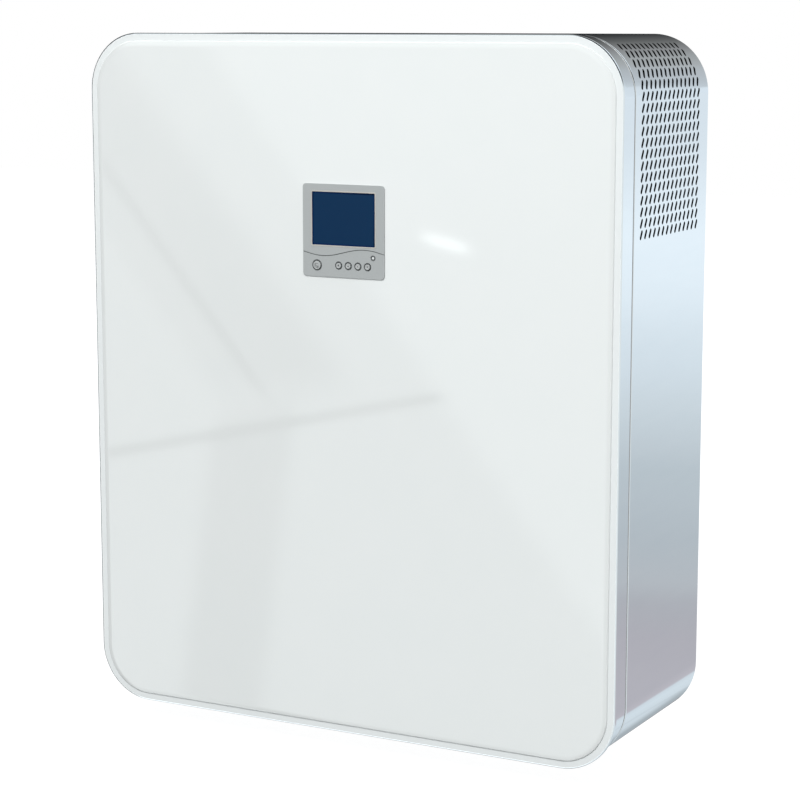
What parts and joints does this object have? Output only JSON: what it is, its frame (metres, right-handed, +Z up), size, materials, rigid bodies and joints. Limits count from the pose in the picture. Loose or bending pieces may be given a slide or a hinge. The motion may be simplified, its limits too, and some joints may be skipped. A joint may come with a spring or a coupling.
{
  "type": "heat recovery unit",
  "caption": "Wall-hung room heat recovery unit: polished casing with slotted side grilles, white hinged front with a display panel, exchanger, fans and duct spigots inside.",
  "frame": {"origin": "middle of the casing's width and height, on the wall plane that its rear edge lies on", "axes": "+X to the right seen from the front, +Y into the wall, +Z up"},
  "size_m": [0.5072, 0.2266, 0.6086],
  "materials": {
    "polished_steel": "bright polished stainless steel sheet",
    "galvanised_steel": "galvanised sheet",
    "zinc_steel": "zinc-plated, satin",
    "white_acrylic": "glossy white acrylic",
    "white_frame": "glossy white moulding",
    "grey_foam": "moulded bead foam",
    "door_foam": "cut foam sheet",
    "white_sheet": "powder coated, satin",
    "black_plastic": "moulded, satin",
    "exchanger_foil": "thin formed plastic sheet",
    "blue_strap": "woven strap",
    "filter_frame": "moulded, satin",
    "filter_fleece": "pleated fleece",
    "fan_housing": "moulded, satin",
    "fan_wheel": "moulded, satin",
    "motor_steel": "die-cast, satin",
    "inlet_ring": "pressed zinc-plated ring",
    "flap_plastic": "moulded, satin",
    "drain_plastic": "moulded, satin",
    "box_plastic": "moulded, satin",
    "circuit_board": "solder-mask green",
    "electronic_parts": "moulded parts",
    "terminal_plastic": "moulded, satin",
    "black_rubber": "matte",
    "gasket_rubber": "pale, soft satin",
    "magnet": "plated",
    "contact_brass": "gold-plated",
    "bezel_grey": "satin silver-grey",
    "display_glass": "glossy dark blue display window",
    "light_lens": "clear pale lens",
    "key_grey": "satin silver-grey"
  },
  "bodies": {
    "casing": {"casing_wrapper": "polished_steel", "right_grille": "polished_steel", "left_grille": "polished_steel", "back_plate": "galvanised_steel", "wall_rail": "galvanised_steel", "core_back": "grey_foam", "core_upper": "grey_foam", "core_lower": "grey_foam", "inner_cover": "white_sheet", "cover_screws": "zinc_steel", "exchanger_ends": "black_plastic", "exchanger_edges": "black_plastic", "exchanger_plates": "exchanger_foil", "exchanger_strap": "blue_strap", "filter_frames": "filter_frame", "filter_media": "filter_fleece", "supply_fan_housing": "fan_housing", "supply_fan_motor": "motor_steel", "exhaust_fan_housing": "fan_housing", "exhaust_fan_motor": "motor_steel", "inlet_rings": "inlet_ring", "outdoor_spigot": "galvanised_steel", "exhaust_spigot": "galvanised_steel", "drain_pan": "drain_plastic", "drain_tube": "drain_plastic", "control_box": "box_plastic", "control_board": "circuit_board", "control_parts": "electronic_parts", "terminal_block": "terminal_plastic", "control_lid": "box_plastic", "cable_grommet": "black_rubber", "temperature_probes": "black_plastic", "seam_gasket": "gasket_rubber", "casing_hinges": "zinc_steel", "catch_magnets": "magnet", "contact_strip": "contact_brass"},
    "door": {"door_rim": "polished_steel", "door_frame": "white_frame", "front_panel": "white_acrylic", "door_insulation": "door_foam", "door_liner": "white_sheet", "control_bezel": "bezel_grey", "display_glass": "display_glass", "display_module": "electronic_parts", "display_board": "circuit_board", "display_switches": "electronic_parts", "status_light": "light_lens", "door_hinges": "zinc_steel", "strike_plates": "zinc_steel", "contact_pins": "contact_brass"},
    "supply_wheel": {"supply_wheel": "fan_wheel"},
    "exhaust_wheel": {"exhaust_wheel": "fan_wheel"},
    "outdoor_flap": {"outdoor_flap": "flap_plastic"},
    "exhaust_flap": {"exhaust_flap": "flap_plastic"},
    "power_button": {"power_button": "key_grey"},
    "key_1": {"key_1": "key_grey"},
    "key_2": {"key_2": "key_grey"},
    "key_3": {"key_3": "key_grey"},
    "key_4": {"key_4": "key_grey"}
  },
  "joints": [
    {"name": "door_hinge", "type": "hinge", "parent": "casing", "child": "door", "pos_m": [-0.2537, -0.15625, 0], "axis": [0, 0, -1], "range_deg": [0, 110]},
    {"name": "supply_wheel_spin", "type": "hinge", "parent": "casing", "child": "supply_wheel", "pos_m": [0.165, -0.06, 0.20909], "axis": [0, -1, 0], "continuous": true},
    {"name": "exhaust_wheel_spin", "type": "hinge", "parent": "casing", "child": "exhaust_wheel", "pos_m": [0.178, -0.06, -0.07], "axis": [0, -1, 0], "continuous": true},
    {"name": "outdoor_flap_swing", "type": "hinge", "parent": "casing", "child": "outdoor_flap", "pos_m": [-0.16, -0.01, -0.184], "axis": [-1, 0, 0], "range_deg": [0, 75]},
    {"name": "exhaust_flap_swing", "type": "hinge", "parent": "casing", "child": "exhaust_flap", "pos_m": [0.16, -0.01, -0.184], "axis": [1, 0, 0], "range_deg": [0, 75]},
    {"name": "power_button_press", "type": "slide", "parent": "door", "child": "power_button", "axis": [0, 1, 0], "range_m": [0, 0.0008], "stiffness_N_per_m": 400},
    {"name": "key_1_press", "type": "slide", "parent": "door", "child": "key_1", "axis": [0, 1, 0], "range_m": [0, 0.0008], "stiffness_N_per_m": 400},
    {"name": "key_2_press", "type": "slide", "parent": "door", "child": "key_2", "axis": [0, 1, 0], "range_m": [0, 0.0008], "stiffness_N_per_m": 400},
    {"name": "key_3_press", "type": "slide", "parent": "door", "child": "key_3", "axis": [0, 1, 0], "range_m": [0, 0.0008], "stiffness_N_per_m": 400},
    {"name": "key_4_press", "type": "slide", "parent": "door", "child": "key_4", "axis": [0, 1, 0], "range_m": [0, 0.0008], "stiffness_N_per_m": 400}
  ]
}
